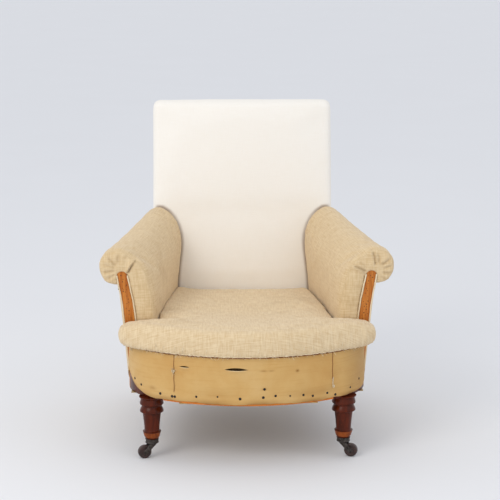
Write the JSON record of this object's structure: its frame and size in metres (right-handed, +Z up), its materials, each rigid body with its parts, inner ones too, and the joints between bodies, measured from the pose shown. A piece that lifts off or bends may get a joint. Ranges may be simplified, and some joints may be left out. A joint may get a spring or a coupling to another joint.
{
  "type": "upholstered armchair on castors, stripped to its undercovers",
  "caption": "Small old armchair stripped to calico and hessian: beech frame, sprung seat with bow front, scroll arms, turned front legs, swivelling castors.",
  "frame": {"origin": "on the floor under the middle of the whole chair's box", "axes": "+Z up, -Y out of the front of the seat, +X to the viewer's right when the chair faces the viewer"},
  "size_m": [0.7886, 0.8028, 0.8888],
  "materials": {
    "beech": "bare, aged orange-brown",
    "mahogany": "old french polish, glossy",
    "castor_iron": "tarnished",
    "castor_wheel": "worn brown",
    "calico": "unbleached cotton",
    "hessian": "coarse plain weave",
    "old_lining": "yellowed and stained",
    "jute": "webbing and scrim",
    "spring_steel": "dull wire"
  },
  "bodies": {
    "root": {"front_rail": "beech", "back_rail": "beech", "top_rail": "beech", "back_tacking_rail": "beech", "side_rail_left": "beech", "side_rail_right": "beech", "back_post_left": "beech", "back_post_right": "beech", "arm_stump_left": "beech", "arm_stump_right": "beech", "arm_rail_left": "beech", "arm_rail_right": "beech", "arm_tacking_rail_left": "beech", "arm_tacking_rail_right": "beech", "front_leg_left": "mahogany", "front_leg_right": "mahogany", "seat_web_long_1": "jute", "seat_web_long_2": "jute", "seat_web_long_3": "jute", "seat_web_long_4": "jute", "seat_web_cross_1": "jute", "seat_web_cross_2": "jute", "seat_web_cross_3": "jute", "seat_web_cross_4": "jute", "spring_hessian": "jute", "back_webbing": "jute", "seat_spring_1": "spring_steel", "seat_spring_2": "spring_steel", "seat_spring_3": "spring_steel", "seat_spring_4": "spring_steel", "seat_spring_5": "spring_steel", "seat_spring_6": "spring_steel", "seat_spring_7": "spring_steel", "seat_spring_8": "spring_steel", "seat_spring_9": "spring_steel", "castor_cup_front_left": "castor_iron", "castor_cup_front_right": "castor_iron", "castor_cup_back_left": "castor_iron", "castor_cup_back_right": "castor_iron", "seat_pad": "hessian", "arm_pad_left": "hessian", "arm_pad_right": "hessian", "outside_arm_left": "hessian", "outside_arm_right": "hessian", "outside_back": "hessian", "back_pad": "calico", "front_border": "old_lining"},
    "castor_front_left": {"castor_horn_front_left": "castor_iron"},
    "wheel_front_left": {"castor_wheel_front_left": "castor_wheel"},
    "castor_front_right": {"castor_horn_front_right": "castor_iron"},
    "wheel_front_right": {"castor_wheel_front_right": "castor_wheel"},
    "castor_back_left": {"castor_horn_back_left": "castor_iron"},
    "wheel_back_left": {"castor_wheel_back_left": "castor_wheel"},
    "castor_back_right": {"castor_horn_back_right": "castor_iron"},
    "wheel_back_right": {"castor_wheel_back_right": "castor_wheel"}
  },
  "joints": [
    {"name": "castor_swivel_front_left", "type": "hinge", "parent": "root", "child": "castor_front_left", "pos_m": [-0.255, -0.2754, 0.04], "axis": [0, 0, 1], "continuous": true},
    {"name": "wheel_roll_front_left", "type": "hinge", "parent": "castor_front_left", "child": "wheel_front_left", "pos_m": [-0.27473, -0.28258, 0.01778], "axis": [0.342, -0.9397, 0], "continuous": true},
    {"name": "castor_swivel_front_right", "type": "hinge", "parent": "root", "child": "castor_front_right", "pos_m": [0.255, -0.2754, 0.04], "axis": [0, 0, 1], "continuous": true},
    {"name": "wheel_roll_front_right", "type": "hinge", "parent": "castor_front_right", "child": "wheel_front_right", "pos_m": [0.27473, -0.28258, 0.01778], "axis": [0.342, 0.9397, 0], "continuous": true},
    {"name": "castor_swivel_back_left", "type": "hinge", "parent": "root", "child": "castor_back_left", "pos_m": [-0.216, 0.3566, 0.04], "axis": [0, 0, 1], "continuous": true},
    {"name": "wheel_roll_back_left", "type": "hinge", "parent": "castor_back_left", "child": "wheel_back_left", "pos_m": [-0.22318, 0.37633, 0.01778], "axis": [-0.9397, -0.342, 0], "continuous": true},
    {"name": "castor_swivel_back_right", "type": "hinge", "parent": "root", "child": "castor_back_right", "pos_m": [0.216, 0.3566, 0.04], "axis": [0, 0, 1], "continuous": true},
    {"name": "wheel_roll_back_right", "type": "hinge", "parent": "castor_back_right", "child": "wheel_back_right", "pos_m": [0.22318, 0.37633, 0.01778], "axis": [-0.9397, 0.342, 0], "continuous": true}
  ]
}
